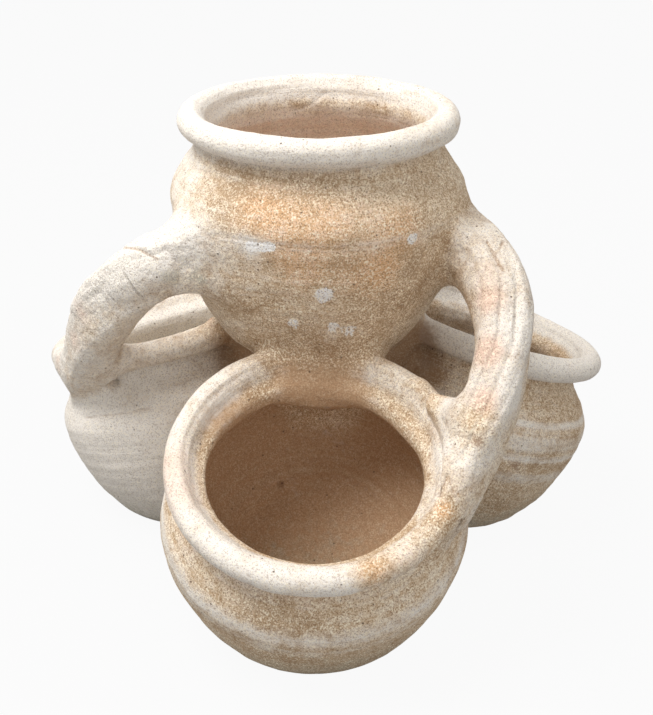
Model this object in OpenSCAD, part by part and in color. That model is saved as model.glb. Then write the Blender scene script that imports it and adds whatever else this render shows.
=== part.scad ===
// Cluster planter in unglazed clay: three thrown bowls lean outward round a middle axis, a fourth
// bowl stands on their rims, and three strap handles tie the upper bowl to the lower ones.
// Millimetres, +Z up. The planter stands on z = 0, with the middle of its outline at x = y = 0
// and the front bowl towards -Y.

/* [Clay] */
// Thickness of the thrown walls
wall = 9; // [8:0.5:10]
// Radius of the rolled bead round every rim
bead_r = 10.3; // [9.5:0.1:11]
// Diameter of the drain holes
drain_d = 14; // [8:1:18]

/* [Lower bowls] */
// Radius of the rim, to the middle of its bead
rim_r = 91.5; // [89:0.5:93]
// Height of the rim along the bowl's own axis
rim_h = 160; // [156:1:164]
// Outside radius of the neck below the rim
neck_r = 82; // [80:0.5:84]
// Outside radius of the belly
belly_r = 107.5; // [105:0.5:109]
// Height of the belly along the bowl's own axis
belly_h = 103.5; // [100:0.5:107]
// Radius of the foot
foot_r = 45; // [40:1:50]
// Thickness of the floor on the bowl's own axis
floor_t = 20; // [18:1:24]
// Fullness of the underside: 1 is a straight cone and 2 is an ellipse
fullness = 1.8; // [1.7:0.05:2]

/* [Front bowl] */
// Direction in which the front bowl stands from the middle axis
front_stand = -90; // [-92:1:-88]
// Distance of its foot from the middle axis
front_reach = 91; // [90:1:92]
// Angle by which it leans outward
front_lean = 23.5; // [22.5:0.5:24.5]
// Direction in which it leans
front_lean_dir = -90; // [-92:1:-88]
// Height by which its foot was built up or pressed down
front_lift = 0; // [-1:0.5:1]

/* [Right bowl] */
// Direction in which the right bowl stands from the middle axis
right_stand = 26; // [24:1:28]
// Distance of its foot from the middle axis
right_reach = 97; // [96:1:98]
// Angle by which it leans outward
right_lean = 17.5; // [16.5:0.5:18.5]
// Direction in which it leans
right_lean_dir = 30; // [28:1:32]
// Height by which its foot was built up or pressed down
right_lift = 2; // [1:0.5:3]

/* [Left bowl] */
// Direction in which the left bowl stands from the middle axis
left_stand = 155; // [153:1:157]
// Distance of its foot from the middle axis
left_reach = 92; // [91:1:93]
// Angle by which it leans outward
left_lean = 18.5; // [17.5:0.5:19.5]
// Direction in which it leans
left_lean_dir = 152; // [150:1:154]
// Height by which its foot was built up or pressed down
left_lift = -4; // [-5:0.5:-3]

/* [Upper bowl] */
// Radius of the rim, to the middle of its bead
top_rim_r = 89.7; // [87:0.1:92]
// Height of the rim above the ground
top_rim_z = 342; // [336:1:348]
// Outside radius of the neck
top_neck_r = 86; // [84:0.5:88]
// Outside radius of the belly
top_belly_r = 107; // [105:0.5:109]
// Height of the belly above the ground
top_belly_z = 288; // [284:1:292]
// Radius of the foot
top_foot_r = 45; // [42:0.5:48]
// Height of the foot above the ground
top_foot_z = 168; // [165:0.5:171]
// Thickness of the floor
top_floor_t = 13; // [11:0.5:16]
// Fullness of the underside
top_fullness = 1.7; // [1.6:0.05:1.9]
// Angle by which the bowl leans
top_lean = 1.9; // [1.5:0.1:2.3]
// Direction in which it leans
top_lean_dir = 224; // [215:1:233]

/* [Handles] */
// Half the width of the strap
strap_w = 18.4; // [16:0.2:20]
// Half the depth of the strap
strap_d = 22.5; // [20:0.5:24]
// Depth of the two finger grooves along its back
groove = 1.4; // [0:0.2:2]
// Turn from the bowl's direction to the handle's root on the upper bowl
root_turn = 75; // [70:1:80]
// Height of the root's centre
root_z = 258; // [254:1:262]
// Turn from the bowl's direction to the handle's landing on the lower rim
landing_turn = 78; // [74:1:82]
// Swelling of the root where it is smeared onto the upper bowl
root_swell = 0.22; // [0:0.02:0.3]

/* [Luting clay] */
// Half the width of the saddle pressed over the back of each lower rim
saddle_w = 46; // [40:1:48]
// Height of the middle of the saddle above the neck of the lower bowl
saddle_rise = 12; // [9:1:15]

/* [Hidden] */
$fn = 96;

clay = [0.80, 0.70, 0.57];
clay_pale = [0.86, 0.79, 0.68];
clay_warm = [0.76, 0.62, 0.47];

// The lower bowls, in the order front, right, left
stand_dir = [front_stand, right_stand, left_stand];
reach = [front_reach, right_reach, left_reach];
lean = [front_lean, right_lean, left_lean];
lean_dir = [front_lean_dir, right_lean_dir, left_lean_dir];
lift = [front_lift, right_lift, left_lift];

under_steps = 9;      // points along the underside of a bowl
shoulder_steps = 6;   // points from the belly to the neck
wall_start = 70;      // turn at which the revolved walls start, off the line of their lean
big = 700;            // size of the blocks that trim flat faces

// Collar: the plug of luting clay between the lower bowls and the upper foot
collar_low_z = 116;
collar_low_r = 40;
collar_waist_r = 44.5;
collar_full_r = 58;
collar_full_z = 146;

// Saddle: its section, as [radius, height] from the inner side of the lower bowl's neck
saddle_section = [[-12, -9], [-5, -15.5], [0, -18], [2.3, -16], [1.5, -8], [0.3, 4], [0, 14],
                  [1, 26], [3.5, 40], [7, 54], [-6, 54], [-22, 15]];

// Strap: control lengths and directions of its curve, relative to the bowl it lands on
root_in = 88;         // radius at which the curve starts, inside the upper wall
root_out_turn = 35.5;
root_rise = 7.5;
root_pull = 75;
landing_drop = 5;
landing_turn_in = 137;
landing_rise = 47;
landing_pull = 111;
tail_turn = 17;       // the tail bends on round the rim and sinks into the lower wall
tail_in = 22;
tail_down = 30;
tail_pull = 20;
tail_scale = 0.62;
curve_steps = 18;
tail_steps = 4;
strap_sides = 24;
groove_angles = [75, 105];

function lerp(a, b, t) = a + (b - a) * t;
function unit(v) = v / norm(v);
function spherical(turn, rise) = [cos(rise) * cos(turn), cos(rise) * sin(turn), sin(rise)];
function leaned(p, tilt, dir) =
    let (x = p.x * cos(tilt) + p.z * sin(tilt), z = p.z * cos(tilt) - p.x * sin(tilt))
    [x * cos(dir) - p.y * sin(dir), x * sin(dir) + p.y * cos(dir), z];

// Places of a lower bowl: its foot, and any point given in its own frame (x outward, z its axis)
function foot_point(k) = [reach[k] * cos(stand_dir[k]), reach[k] * sin(stand_dir[k]), lift[k]];
function bowl_point(k, p) = foot_point(k) + leaned(p, lean[k], lean_dir[k]);
function belly_point(k) = bowl_point(k, [0, 0, belly_h]);

// Half profile of a thrown wall: a full underside from the foot, then a soft turn in to the neck
function underside(r0, z0, r1, z1, full) =
    [for (i = [0 : under_steps])
        let (t = 90 * i / under_steps)
        [lerp(r0, r1, pow(sin(t), 2 / full)), lerp(z0, z1, 1 - pow(cos(t), 2 / full))]];
function shoulder(r1, z1, r2, z2) =
    [for (i = [1 : shoulder_steps])
        let (t = i / shoulder_steps)
        [lerp(r1, r2, (1 - cos(180 * t)) / 2), lerp(z1, z2, t)]];
function reversed(list) = [for (i = [len(list) - 1 : -1 : 0]) list[i]];

// foot = [radius, height], belly and neck likewise; rim = [bead centre radius, height]
function outer_line(foot, belly, neck, full) =
    concat(underside(foot.x, foot.y, belly.x, belly.y, full),
           shoulder(belly.x, belly.y, neck.x, neck.y));
function inner_line(foot, belly, neck, full, floor_thick) =
    concat(underside(0, foot.y + floor_thick, belly.x - wall, belly.y, full),
           shoulder(belly.x, belly.y, neck.x, neck.y) - [for (i = [1 : shoulder_steps]) [wall, 0]]);

low_foot = [foot_r, 0];
low_belly = [belly_r, belly_h];
low_neck = [neck_r, rim_h - bead_r * 0.8];
low_rim = [rim_r, rim_h];
top_foot = [top_foot_r, top_foot_z];
top_belly = [top_belly_r, top_belly_z];
top_neck = [top_neck_r, top_rim_z - bead_r * 0.8];
top_rim = [top_rim_r, top_rim_z];

// Thrown bowl with an open hollow and a rolled rim
module thrown_bowl(foot, belly, neck, rim, full, floor_thick) {
    rotate(wall_start) rotate_extrude() {
        polygon(concat([[0, foot.y]],
                       outer_line(foot, belly, neck, full),
                       [rim, [rim.x - bead_r * 0.85, rim.y + bead_r * 0.3]],
                       reversed(inner_line(foot, belly, neck, full, floor_thick))));
        translate(rim)
            circle(r = bead_r);
    }
}

// The same bowl filled up to its rim, with its mouth kept clear above: what a neighbour is cut by
module bowl_envelope(foot, belly, neck, rim, full, clear_h) {
    rotate(wall_start) rotate_extrude() {
        polygon(concat([[0, foot.y]],
                       outer_line(foot, belly, neck, full),
                       [rim, [rim.x - bead_r * 0.85, rim.y + bead_r * 0.3],
                        [rim.x - bead_r * 0.85, rim.y + clear_h], [0, rim.y + clear_h]]));
        translate(rim)
            circle(r = bead_r);
    }
}

module at_bowl(k) {
    translate(foot_point(k))
        rotate([0, lean[k], lean_dir[k]])
            children();
}

module at_top() {
    rotate([0, top_lean, top_lean_dir])
        children();
}

module lower_envelope(k) {
    at_bowl(k)
        bowl_envelope(low_foot, low_belly, low_neck, low_rim, fullness, 60);
}

module upper_envelope() {
    at_top()
        bowl_envelope(top_foot, top_belly, top_neck, top_rim, top_fullness, 20);
}

// Everything past the upright plane halfway between the bellies of bowls k and j
module beyond_halfway(k, j) {
    a = belly_point(k);
    b = belly_point(j);
    translate([(a.x + b.x) / 2, (a.y + b.y) / 2, -big / 2])
        rotate(atan2(b.y - a.y, b.x - a.x))
            translate([0, -big / 2, 0])
                cube([big, big, big]);
}

// Luting clay pressed over the back of a lower rim: a ring of it, kept within a round patch
function back_of_neck(k) =
    let (p = bowl_point(k, [wall - low_neck.x, 0, low_neck.y]))
    [norm([p.x, p.y]), p.z];
module saddle(k) {
    neck = back_of_neck(k);
    intersection() {
        rotate(stand_dir[k] + wall_start)
            rotate_extrude()
                polygon([for (p = saddle_section) neck + p]);
        translate([0, 0, neck.y + saddle_rise])
            rotate([0, 90, stand_dir[k]])
                cylinder(r = saddle_w, h = big / 2);
    }
}

// Lower bowl: pressed flat on the ground and against its neighbours, notched for the upper bowl
module lower_bowl(k) {
    difference() {
        union() {
            at_bowl(k)
                thrown_bowl(low_foot, low_belly, low_neck, low_rim, fullness, floor_t);
            saddle(k);
        }
        translate([-big / 2, -big / 2, -big])
            cube([big, big, big]);
        for (j = [0 : 2])
            if (j != k)
                beyond_halfway(k, j);
        upper_envelope();
        translate(bowl_point(k, [foot_r * 0.6, 0, 0]) - [0, 0, big / 2])
            cylinder(d = drain_d, h = big / 2 + 60);
    }
}

module upper_drain() {
    at_top()
        translate([0, 0, collar_low_z - 10])
            cylinder(d = drain_d, h = top_foot_z + top_floor_t + 20 - collar_low_z);
}

// Strap: its curve runs from inside the upper wall, out and round, down onto the lower rim
function strap_start(k) = let (turn = stand_dir[k] + root_turn)
    [root_in * cos(turn), root_in * sin(turn), root_z];
function strap_end(k) =
    bowl_point(k, [rim_r * cos(landing_turn), rim_r * sin(landing_turn), rim_h - landing_drop]);
function strap_tail(k) =
    let (turn = landing_turn - tail_turn, r = rim_r - tail_in)
    bowl_point(k, [r * cos(turn), r * sin(turn), rim_h - landing_drop - tail_down]);
function strap_curve(k) =
    let (a = strap_start(k),
         b = a + root_pull * spherical(stand_dir[k] + root_out_turn, root_rise),
         d = strap_end(k),
         c = d + landing_pull * spherical(lean_dir[k] + landing_turn_in, landing_rise),
         e = d + tail_pull * unit(d - c),
         f = strap_tail(k))
    concat([for (i = [0 : curve_steps])
               let (t = i / curve_steps, s = 1 - t)
               s * s * s * a + 3 * s * s * t * b + 3 * s * t * t * c + t * t * t * d],
           [for (i = [1 : tail_steps])
               let (t = i / tail_steps, s = 1 - t)
               s * s * d + 2 * s * t * e + t * t * f]);
function strap_scale(i) =
    1 + root_swell * pow(max(0, 1 - 2.6 * i / curve_steps), 2)
      - (1 - tail_scale) * pow(max(0, (i - 0.55 * curve_steps) / (0.45 * curve_steps + tail_steps)), 2);
function groove_at(angle) = len([for (g = groove_angles) if (abs(g - angle) < 1) g]) * groove;
function strap_ring(path, i) =
    let (ahead = path[min(i + 1, len(path) - 1)],
         behind = path[max(i - 1, 0)],
         along = unit(ahead - behind),
         side = unit(cross(along, [0, 0, 1])),
         back = cross(side, along))
    [for (j = [0 : strap_sides - 1])
        let (angle = 360 * j / strap_sides)
        path[i] + strap_scale(i) * ((strap_w - groove_at(angle)) * cos(angle) * side
                                    + (strap_d - groove_at(angle)) * sin(angle) * back)];
function strap_points(k) =
    let (path = strap_curve(k))
    [for (i = [0 : len(path) - 1]) each strap_ring(path, i)];

module strap(k) {
    rings = curve_steps + tail_steps + 1;
    n = strap_sides;
    polyhedron(
        points = strap_points(k),
        faces = concat(
            [[for (j = [0 : n - 1]) j]],
            [for (i = [0 : rings - 2], j = [0 : n - 1])
                let (a = i * n + j, b = i * n + (j + 1) % n)
                each [[a, a + n, b], [b, a + n, b + n]]],
            [[for (j = [n - 1 : -1 : 0]) (rings - 1) * n + j]]));
}

module handle(k) {
    difference() {
        strap(k);
        upper_envelope();
        lower_envelope(k);
    }
}

// Middle of the outline, seen from above: the outermost rims, and the rear handle behind them
function rim_extent(k, d) =
    let (axis = leaned([0, 0, 1], lean[k], lean_dir[k]), lift_part = axis * d)
    bowl_point(k, [0, 0, rim_h]) * d + rim_r * sqrt(1 - lift_part * lift_part) + bead_r;
x_high = rim_extent(1, [1, 0, 0]);
x_low = -rim_extent(2, [-1, 0, 0]);
y_low = -rim_extent(0, [0, -1, 0]);
y_high = max([for (p = strap_points(1)) p.y]);
outline_middle = [(x_high + x_low) / 2, (y_high + y_low) / 2, 0];

module in_frame() {
    translate(-outline_middle)
        children();
}

module front_bowl() { color(clay) in_frame() lower_bowl(0); }
module right_bowl() { color(clay) in_frame() lower_bowl(1); }
module left_bowl() { color(clay) in_frame() lower_bowl(2); }

module upper_bowl() {
    color(clay)
        in_frame()
            difference() {
                at_top()
                    thrown_bowl(top_foot, top_belly, top_neck, top_rim, top_fullness, top_floor_t);
                upper_drain();
            }
}

// Plug of luting clay that fills the crevice between the lower bowls and carries the upper foot
module middle_collar() {
    color(clay_warm)
        in_frame()
            difference() {
                at_top()
                    rotate_extrude()
                        polygon([[0, collar_low_z], [collar_low_r, collar_low_z],
                                 [collar_full_r, collar_full_z], [collar_waist_r, top_foot_z],
                                 [0, top_foot_z]]);
                for (k = [0 : 2])
                    lower_envelope(k);
                upper_drain();
            }
}

module front_handle() { color(clay_pale) in_frame() handle(0); }
module rear_handle() { color(clay_pale) in_frame() handle(1); }
module left_handle() { color(clay_pale) in_frame() handle(2); }

front_bowl();
right_bowl();
left_bowl();
upper_bowl();
middle_collar();
front_handle();
rear_handle();
left_handle();
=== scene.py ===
import math

import bmesh
import bpy
import numpy as np
from mathutils import Matrix, Vector


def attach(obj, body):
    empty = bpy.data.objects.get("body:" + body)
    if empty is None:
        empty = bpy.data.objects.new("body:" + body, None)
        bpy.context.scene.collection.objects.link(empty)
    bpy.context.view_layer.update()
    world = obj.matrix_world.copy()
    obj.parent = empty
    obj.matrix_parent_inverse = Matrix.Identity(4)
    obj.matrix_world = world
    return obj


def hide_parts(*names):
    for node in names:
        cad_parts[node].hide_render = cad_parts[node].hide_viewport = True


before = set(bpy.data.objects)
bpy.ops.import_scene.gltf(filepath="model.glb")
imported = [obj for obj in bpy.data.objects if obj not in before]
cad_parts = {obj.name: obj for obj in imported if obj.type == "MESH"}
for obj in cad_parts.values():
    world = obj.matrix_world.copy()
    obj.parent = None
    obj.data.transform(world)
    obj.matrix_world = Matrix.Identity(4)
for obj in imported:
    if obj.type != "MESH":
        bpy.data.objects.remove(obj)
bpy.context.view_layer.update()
print("frame loaded:", sorted(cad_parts))

# Sizes below are in millimetres and degrees, in the planter's own frame before its outline is centred.
millimetre = 0.001
outlineMiddle = np.array([0.575, -36.42, 0.0])

lowerBowl = dict(
    rimRadius=91.5, rimHeight=160, beadRadius=10.3, neckRadius=82, bellyRadius=107.5, bellyHeight=103.5,
    footRadius=45, footHeight=0, floorThickness=20, fullness=1.8)
topBowl = dict(
    rimRadius=89.7, rimHeight=342, beadRadius=10.3, neckRadius=86, bellyRadius=107, bellyHeight=288,
    footRadius=45, footHeight=168, floorThickness=13, fullness=1.7)
thrown = dict(
    wall=9, spacing=1.7, softness=1.32, window=4, underSteps=60, shoulderSteps=28, beadSteps=50,
    beadTurn=(221, 532), neckDrop=0.8, turns=288, lipShare=0.85, lipRise=3, overMouth=90, openGap=0.3,
    openEdge=1.5, outerReach=(2.5, 6), drainRadius=7, drainPlace=0.6, lowDrain=(-20, 60), topDrain=(106, 201))
detail = 1

places = {
    "frontBowl": dict(node="front_bowl", stand=-90, reach=91, lean=23.5, leanDirection=-90, lift=0),
    "rightBowl": dict(node="right_bowl", stand=26, reach=97, lean=17.5, leanDirection=30, lift=2),
    "leftBowl": dict(node="left_bowl", stand=155, reach=92, lean=18.5, leanDirection=152, lift=-4),
    "topBowl": dict(node="upper_bowl", stand=0, reach=0, lean=1.9, leanDirection=224, lift=0),
}
lowerNames = ["frontBowl", "rightBowl", "leftBowl"]


# places of the bowls
def turned(axis, degrees):
    return np.array(Matrix.Rotation(math.radians(degrees), 3, axis))


def placeOf(name):
    p = places[name]
    a = math.radians(p["stand"])
    foot = np.array([p["reach"] * math.cos(a), p["reach"] * math.sin(a), p["lift"]])
    return foot, turned("Z", p["leanDirection"]) @ turned("Y", p["lean"])


def toBowl(name, points):
    foot, turn = placeOf(name)
    return (points - foot) @ turn


def fromBowl(name, points):
    foot, turn = placeOf(name)
    return np.asarray(points, float) @ turn.T + foot


# half section of a thrown bowl
def softened(line):
    # even spacing, then a short moving average that rounds the creases; both ends stay on the axis
    spacing, softness, window = [thrown[k] for k in ("spacing", "softness", "window")]
    steps = np.linalg.norm(np.diff(line, axis=0), axis=1)
    along = np.concatenate([[0], np.cumsum(steps)])
    count = int(along[-1] / spacing)
    even = np.linspace(0, along[-1], count)
    line = np.stack([np.interp(even, along, line[:, 0]), np.interp(even, along, line[:, 1])], 1)
    reach = np.arange(-window, window + 1)
    weights = np.exp(-0.5 * (reach / softness) ** 2)
    weights /= weights.sum()
    padded = np.concatenate([np.repeat(line[:1], window, 0), line, np.repeat(line[-1:], window, 0)])
    smooth = sum(w * padded[window + k:window + k + len(line)] for k, w in zip(reach, weights))
    smooth[[0, -1]] = line[[0, -1]]
    smooth[0, 0] = smooth[-1, 0] = 0
    return smooth


def bowlSection(bowl):
    t = np.linspace(0, math.pi / 2, thrown["underSteps"])
    power = 2 / bowl["fullness"]
    span = bowl["bellyHeight"] - bowl["footHeight"]
    underR = bowl["footRadius"] + (bowl["bellyRadius"] - bowl["footRadius"]) * np.sin(t) ** power
    underZ = bowl["footHeight"] + span * (1 - np.cos(t) ** power)
    neckZ = bowl["rimHeight"] - bowl["beadRadius"] * thrown["neckDrop"]
    s = np.linspace(0, 1, thrown["shoulderSteps"])[1:]
    blend = (1 - np.cos(math.pi * s)) / 2
    shoulderR = bowl["bellyRadius"] + (bowl["neckRadius"] - bowl["bellyRadius"]) * blend
    shoulderZ = bowl["bellyHeight"] + (neckZ - bowl["bellyHeight"]) * s
    beadTurn = np.radians(np.linspace(*thrown["beadTurn"], thrown["beadSteps"]))
    beadR = bowl["rimRadius"] + bowl["beadRadius"] * np.cos(beadTurn)
    beadZ = bowl["rimHeight"] + bowl["beadRadius"] * np.sin(beadTurn)
    floorZ = bowl["footHeight"] + bowl["floorThickness"]
    innerR = (bowl["bellyRadius"] - thrown["wall"]) * np.sin(t) ** power
    innerZ = floorZ + (bowl["bellyHeight"] - floorZ) * (1 - np.cos(t) ** power)
    r = np.concatenate([[0], underR, shoulderR, beadR, (shoulderR - thrown["wall"])[::-1], innerR[::-1]])
    z = np.concatenate([[bowl["footHeight"]], underZ, shoulderZ, beadZ, shoulderZ[::-1], innerZ[::-1]])
    return softened(np.stack([r, z], 1))


# signed distances, negative in the clay
def sectionDistance(points, loop):
    a, b = loop, np.roll(loop, -1, 0)
    best = np.full(len(points), 1e9)
    inside = np.zeros(len(points), bool)
    for p, q in zip(a, b):
        edge = q - p
        length = edge @ edge
        if length < 1e-12 or p[0] + q[0] < 1e-6:  # nothing ends on the axis
            continue
        along = np.clip((points - p) @ edge / length, 0, 1)
        gap = points - p - along[:, None] * edge
        best = np.minimum(best, (gap * gap).sum(1))
        crosses = (p[1] > points[:, 1]) != (q[1] > points[:, 1])
        if abs(edge[1]) > 1e-12:
            inside ^= crosses & (points[:, 0] < p[0] + (points[:, 1] - p[1]) / edge[1] * edge[0])
    return np.where(inside, -1, 1) * np.sqrt(best)


class SectionField:
    # signed distance to a closed section, looked up on a fine grid; in three dimensions it is revolved
    def __init__(self, loop, step=0.8, margin=46):
        self.step = step
        self.low, high = loop.min(0) - margin, loop.max(0) + margin
        self.counts = np.ceil((high - self.low) / step).astype(int) + 1
        r = self.low[0] + np.arange(self.counts[0]) * step
        z = self.low[1] + np.arange(self.counts[1]) * step
        grid = np.stack(np.meshgrid(r, z, indexing="ij"), -1).reshape(-1, 2)
        self.values = sectionDistance(grid, loop).reshape(self.counts)

    def __call__(self, local):
        return self.at(np.hypot(local[:, 0], local[:, 1]), local[:, 2])

    def at(self, r, z):
        place = (np.stack([r, z], 1) - self.low) / self.step
        capped = np.clip(place, 0, self.counts - 1.001)
        beyond = np.linalg.norm((place - capped) * self.step, axis=1)
        i, j = capped.astype(int).T
        u, v = (capped - capped.astype(int)).T
        g = self.values
        mixed = (g[i, j] * (1 - u) * (1 - v) + g[i + 1, j] * u * (1 - v)
                 + g[i, j + 1] * (1 - u) * v + g[i + 1, j + 1] * u * v)
        return mixed + beyond


def hollowLoop(bowl, section):
    # the open inside of a bowl, with the space over its mouth
    top = int(np.argmax(section[:, 1]))
    inner = section[top:]
    lipR = bowl["rimRadius"] - bowl["beadRadius"] * thrown["lipShare"]
    inner = inner[(inner[:, 0] < lipR) | (inner[:, 1] < bowl["rimHeight"])]
    lipZ, above = bowl["rimHeight"] + thrown["lipRise"], bowl["rimHeight"] + thrown["overMouth"]
    return np.concatenate([[[0, above], [lipR, above], [lipR, lipZ]], inner])


# relief left by the hands
def clayNoise(points, size, seed=0):
    # smooth random relief between about -1 and 1, the same on every run; size is one length or three
    place = points / np.asarray(size, float) + seed * 7.31
    cell = np.floor(place).astype(np.int64)
    f = place - cell
    f = f * f * f * (f * (f * 6 - 15) + 10)
    total = np.zeros(len(points))
    for corner in range(8):
        step = np.array([corner & 1, corner >> 1 & 1, corner >> 2])
        at = cell + step
        mixed = (at[:, 0] * 73856093) ^ (at[:, 1] * 19349663) ^ (at[:, 2] * 83492791)
        mixed = (mixed ^ (mixed >> 13)) * 1274126177 & 0x7FFFFFFF
        value = (mixed ^ (mixed >> 16)) % 2048 / 1023.5 - 1
        total += value * np.prod(np.where(step, f, 1 - f), axis=1)
    return total


# bumps, and dents where the height is negative: a place, a size and a height each
marks = [
    dict(at=(102, -162, 180), size=5.5, height=3.4), dict(at=(-206, 3, 141), size=13, height=2.5),
    dict(at=(-148, -24, 132), size=9, height=-2.8), dict(at=(-162, -18, 133), size=5, height=-2.6),
    dict(at=(-84, -15, 183), size=4.5, height=2.6), dict(at=(71, -102, 180), size=4, height=1.8),
    dict(at=(-29, -54, 67), size=2.6, height=-1.6), dict(at=(112, -120, 233), size=2.6, height=-0.9),
    dict(at=(96, -182, 150), size=12, height=1.2),
]
# ragged cracks and scratches that follow a few points each
cracks = [
    dict(line=[(-166, -8, 134), (-158, -22, 133), (-152, -34, 138)], width=1.4, depth=1.8),
    dict(line=[(-86, -12, 176), (-110, -16, 160), (-128, -20, 150)], width=1.0, depth=1.0),
    dict(line=[(84, -206, 110), (92, -196, 118), (96, -188, 128)], width=1.1, depth=1.6),
    dict(line=[(111, -71, 275), (115, -81, 269), (120, -92, 263)], width=1.3, depth=2.4),
    dict(line=[(121, -67, 273), (115, -81, 269)], width=1.1, depth=2.0),
    dict(line=[(81, -185, 143), (86, -177, 153), (91, -186, 143)], width=1.2, depth=2.0),
    dict(line=[(-138, -72, 262), (-124, -85, 265), (-111, -91, 261)], width=1.2, depth=2.2),
    dict(line=[(-185, -18, 99), (-154, -37, 114), (-130, -42, 122)], width=1.6, depth=1.3),
    dict(line=[(-32, -92, 216), (8, -95, 216), (49, -74, 212)], width=1.6, depth=0.8),
    dict(line=[(-29, 68, 328), (-16, 70, 333), (-6, 71, 342)], width=1.1, depth=1.2),
]
# the way in which marks go through a wall, how deep they reach, and how ragged the lines are
marking = dict(through=np.array([0, 0.906, -0.423]), reach=9, raggedness=0.4, raggedSize=3)


def pressed(points, line, size):
    # how strongly a mark along a line acts at each point, from 0 to 1
    acts = np.zeros(len(points))
    line = np.array(line, float)
    through, reach = marking["through"], marking["reach"]
    margin = reach * 2 + size * 3
    close = np.flatnonzero(((points > line.min(0) - margin) & (points < line.max(0) + margin)).all(1))
    near = points[close]
    if not len(close):
        return acts
    ragged = marking["raggedness"] * clayNoise(near, marking["raggedSize"], 5) if len(line) > 1 else 0
    best = np.zeros(len(near))
    for p, q in zip(line, line[1:] if len(line) > 1 else line):
        edge = q - p - (q - p) @ through * through
        along = np.clip((near - p) @ edge / max(edge @ edge, 1e-9), 0, 1)
        gap = near - p - along[:, None] * (q - p)
        depth = gap @ through
        aside = np.sqrt(np.maximum((gap * gap).sum(1) - depth * depth, 0)) + ragged
        best = np.maximum(best, np.exp(-(depth / reach) ** 2 - (np.maximum(aside, 0) / size) ** 2))
    acts[close] = best
    return acts


def handWork(points):
    height = np.zeros(len(points))
    for m in marks:
        height += m["height"] * pressed(points, [m["at"]], m["size"])
    for c in cracks:
        height -= c["depth"] * pressed(points, c["line"], c["width"])
    return height


# heights of the throwing rings, of the uneven wall, of small dents and of the swelling in the neck
surface = {name: dict(ring=0.30, uneven=0.9, swell=6.0, seed=seed) for seed, name in enumerate(lowerNames, 1)}
surface["topBowl"] = dict(ring=0.34, uneven=0.6, swell=0, seed=4)
hands = dict(
    ringSize=5.5, fineRing=2.6, fineShare=0.6, roundStretch=0.06, spiral=1.2, innerRings=1.4,
    insideReach=(2, 6), beadReach=(11, 20), beadSunk=1.4, unevenSize=46, dents=0.35, dentSize=15, rough=0.14,
    roughSize=6, swellAt=(70.5, 142.5), swellSize=9, swellTurn=(0.0, 0.75))


def bowlRelief(name, local):
    look, h = surface[name], hands
    bowl, seed = topBowl if name == "topBowl" else lowerBowl, look["seed"]
    turn = np.arctan2(local[:, 1], local[:, 0])
    r, z = np.hypot(local[:, 0], local[:, 1]), local[:, 2]
    bead = 1 - smoothStep(np.hypot(r - bowl["rimRadius"], z - bowl["rimHeight"]), *h["beadReach"])
    climb = local * [h["roundStretch"], h["roundStretch"], 1]
    climb[:, 2] += h["spiral"] * turn + bead * (r - bowl["neckRadius"])
    rings = clayNoise(climb, h["ringSize"], seed) + h["fineShare"] * clayNoise(climb, h["fineRing"], seed + 3)
    rings -= h["beadSunk"] * bead  # the ridges on a rim stay within its thrown roundness
    inside = 1 - smoothStep(hollowOf(name, local), *h["insideReach"])
    relief = look["ring"] * (1 + h["innerRings"] * inside) * rings
    relief += look["uneven"] * clayNoise(local, h["unevenSize"], seed)
    relief += h["dents"] * clayNoise(local, h["dentSize"], seed + 7)
    relief += h["rough"] * clayNoise(local, h["roughSize"], seed + 9) + handWork(fromBowl(name, local))
    # the inside of the neck swells towards the back, where the thumb pressed the clay down
    swellR, swellZ = h["swellAt"]
    swell = np.exp(-((r - swellR) ** 2 + (z - swellZ) ** 2) / h["swellSize"] ** 2)
    return relief + look["swell"] * swell * smoothStep(-np.cos(turn), *h["swellTurn"])


lowerSection, topSection = bowlSection(lowerBowl), bowlSection(topBowl)
lowerWall, topWall = SectionField(lowerSection), SectionField(topSection)
lowerHollow = SectionField(hollowLoop(lowerBowl, lowerSection))
topHollow = SectionField(hollowLoop(topBowl, topSection))


def shellOf(name, points):
    # distances to a bowl's clay and to its open inside, negative within each
    local = toBowl(name, points)
    relief = bowlRelief(name, local)
    wall, hollow = (topWall, topHollow) if name == "topBowl" else (lowerWall, lowerHollow)
    return wall(local) - relief, hollow(local) + relief


def wallOf(name, points):
    return shellOf(name, points)[0]


def hollowOf(name, local):
    return (topHollow if name == "topBowl" else lowerHollow)(local)


def keptOpen(clay, opening):
    # clay ends softly, just short of a bowl's open inside
    return smoothMax(clay, thrown["openGap"] - opening, thrown["openEdge"])


def smoothMin(a, b, reach):
    share = np.maximum(reach - np.abs(a - b), 0) / reach
    return np.minimum(a, b) - share * share * reach / 4


def smoothMax(a, b, reach):
    return -smoothMin(-a, -b, reach)


def smoothStep(values, low, high):
    share = np.clip((values - low) / (high - low), 0, 1)
    return share * share * (3 - 2 * share)


# straps
strap = dict(
    halfWidth=18.4, halfDepth=22.5, rootTurn=75, rootHeight=258, landingTurn=78, rootSwell=0.22, rootIn=88,
    rootOutTurn=35.5, rootRise=7.5, rootPull=75, landingDrop=5, landingTurnIn=137, landingRise=47,
    landingPull=111, tailTurn=17, tailIn=22, tailDown=30, tailPull=20, tailScale=0.62, pathSteps=90,
    tailSteps=20, mainSpan=18, tailSpan=4, swellFade=2.6, taperFrom=9.9, squareness=3.6, grooveDepth=2.1,
    grooveWidth=1.5, groovePlaces=(-5.0, 5.5), grooveBack=(4, 12), grooveStart=(0.2, 0.34),
    grooveEnd=(0.7, 0.86), wander=1.6, wanderSize=26, raggedSize=7, streakDepth=0.34, streakSize=4.2,
    fineStreak=2.1)


def unit(v):
    return v / np.linalg.norm(v, axis=-1, keepdims=True)


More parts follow.
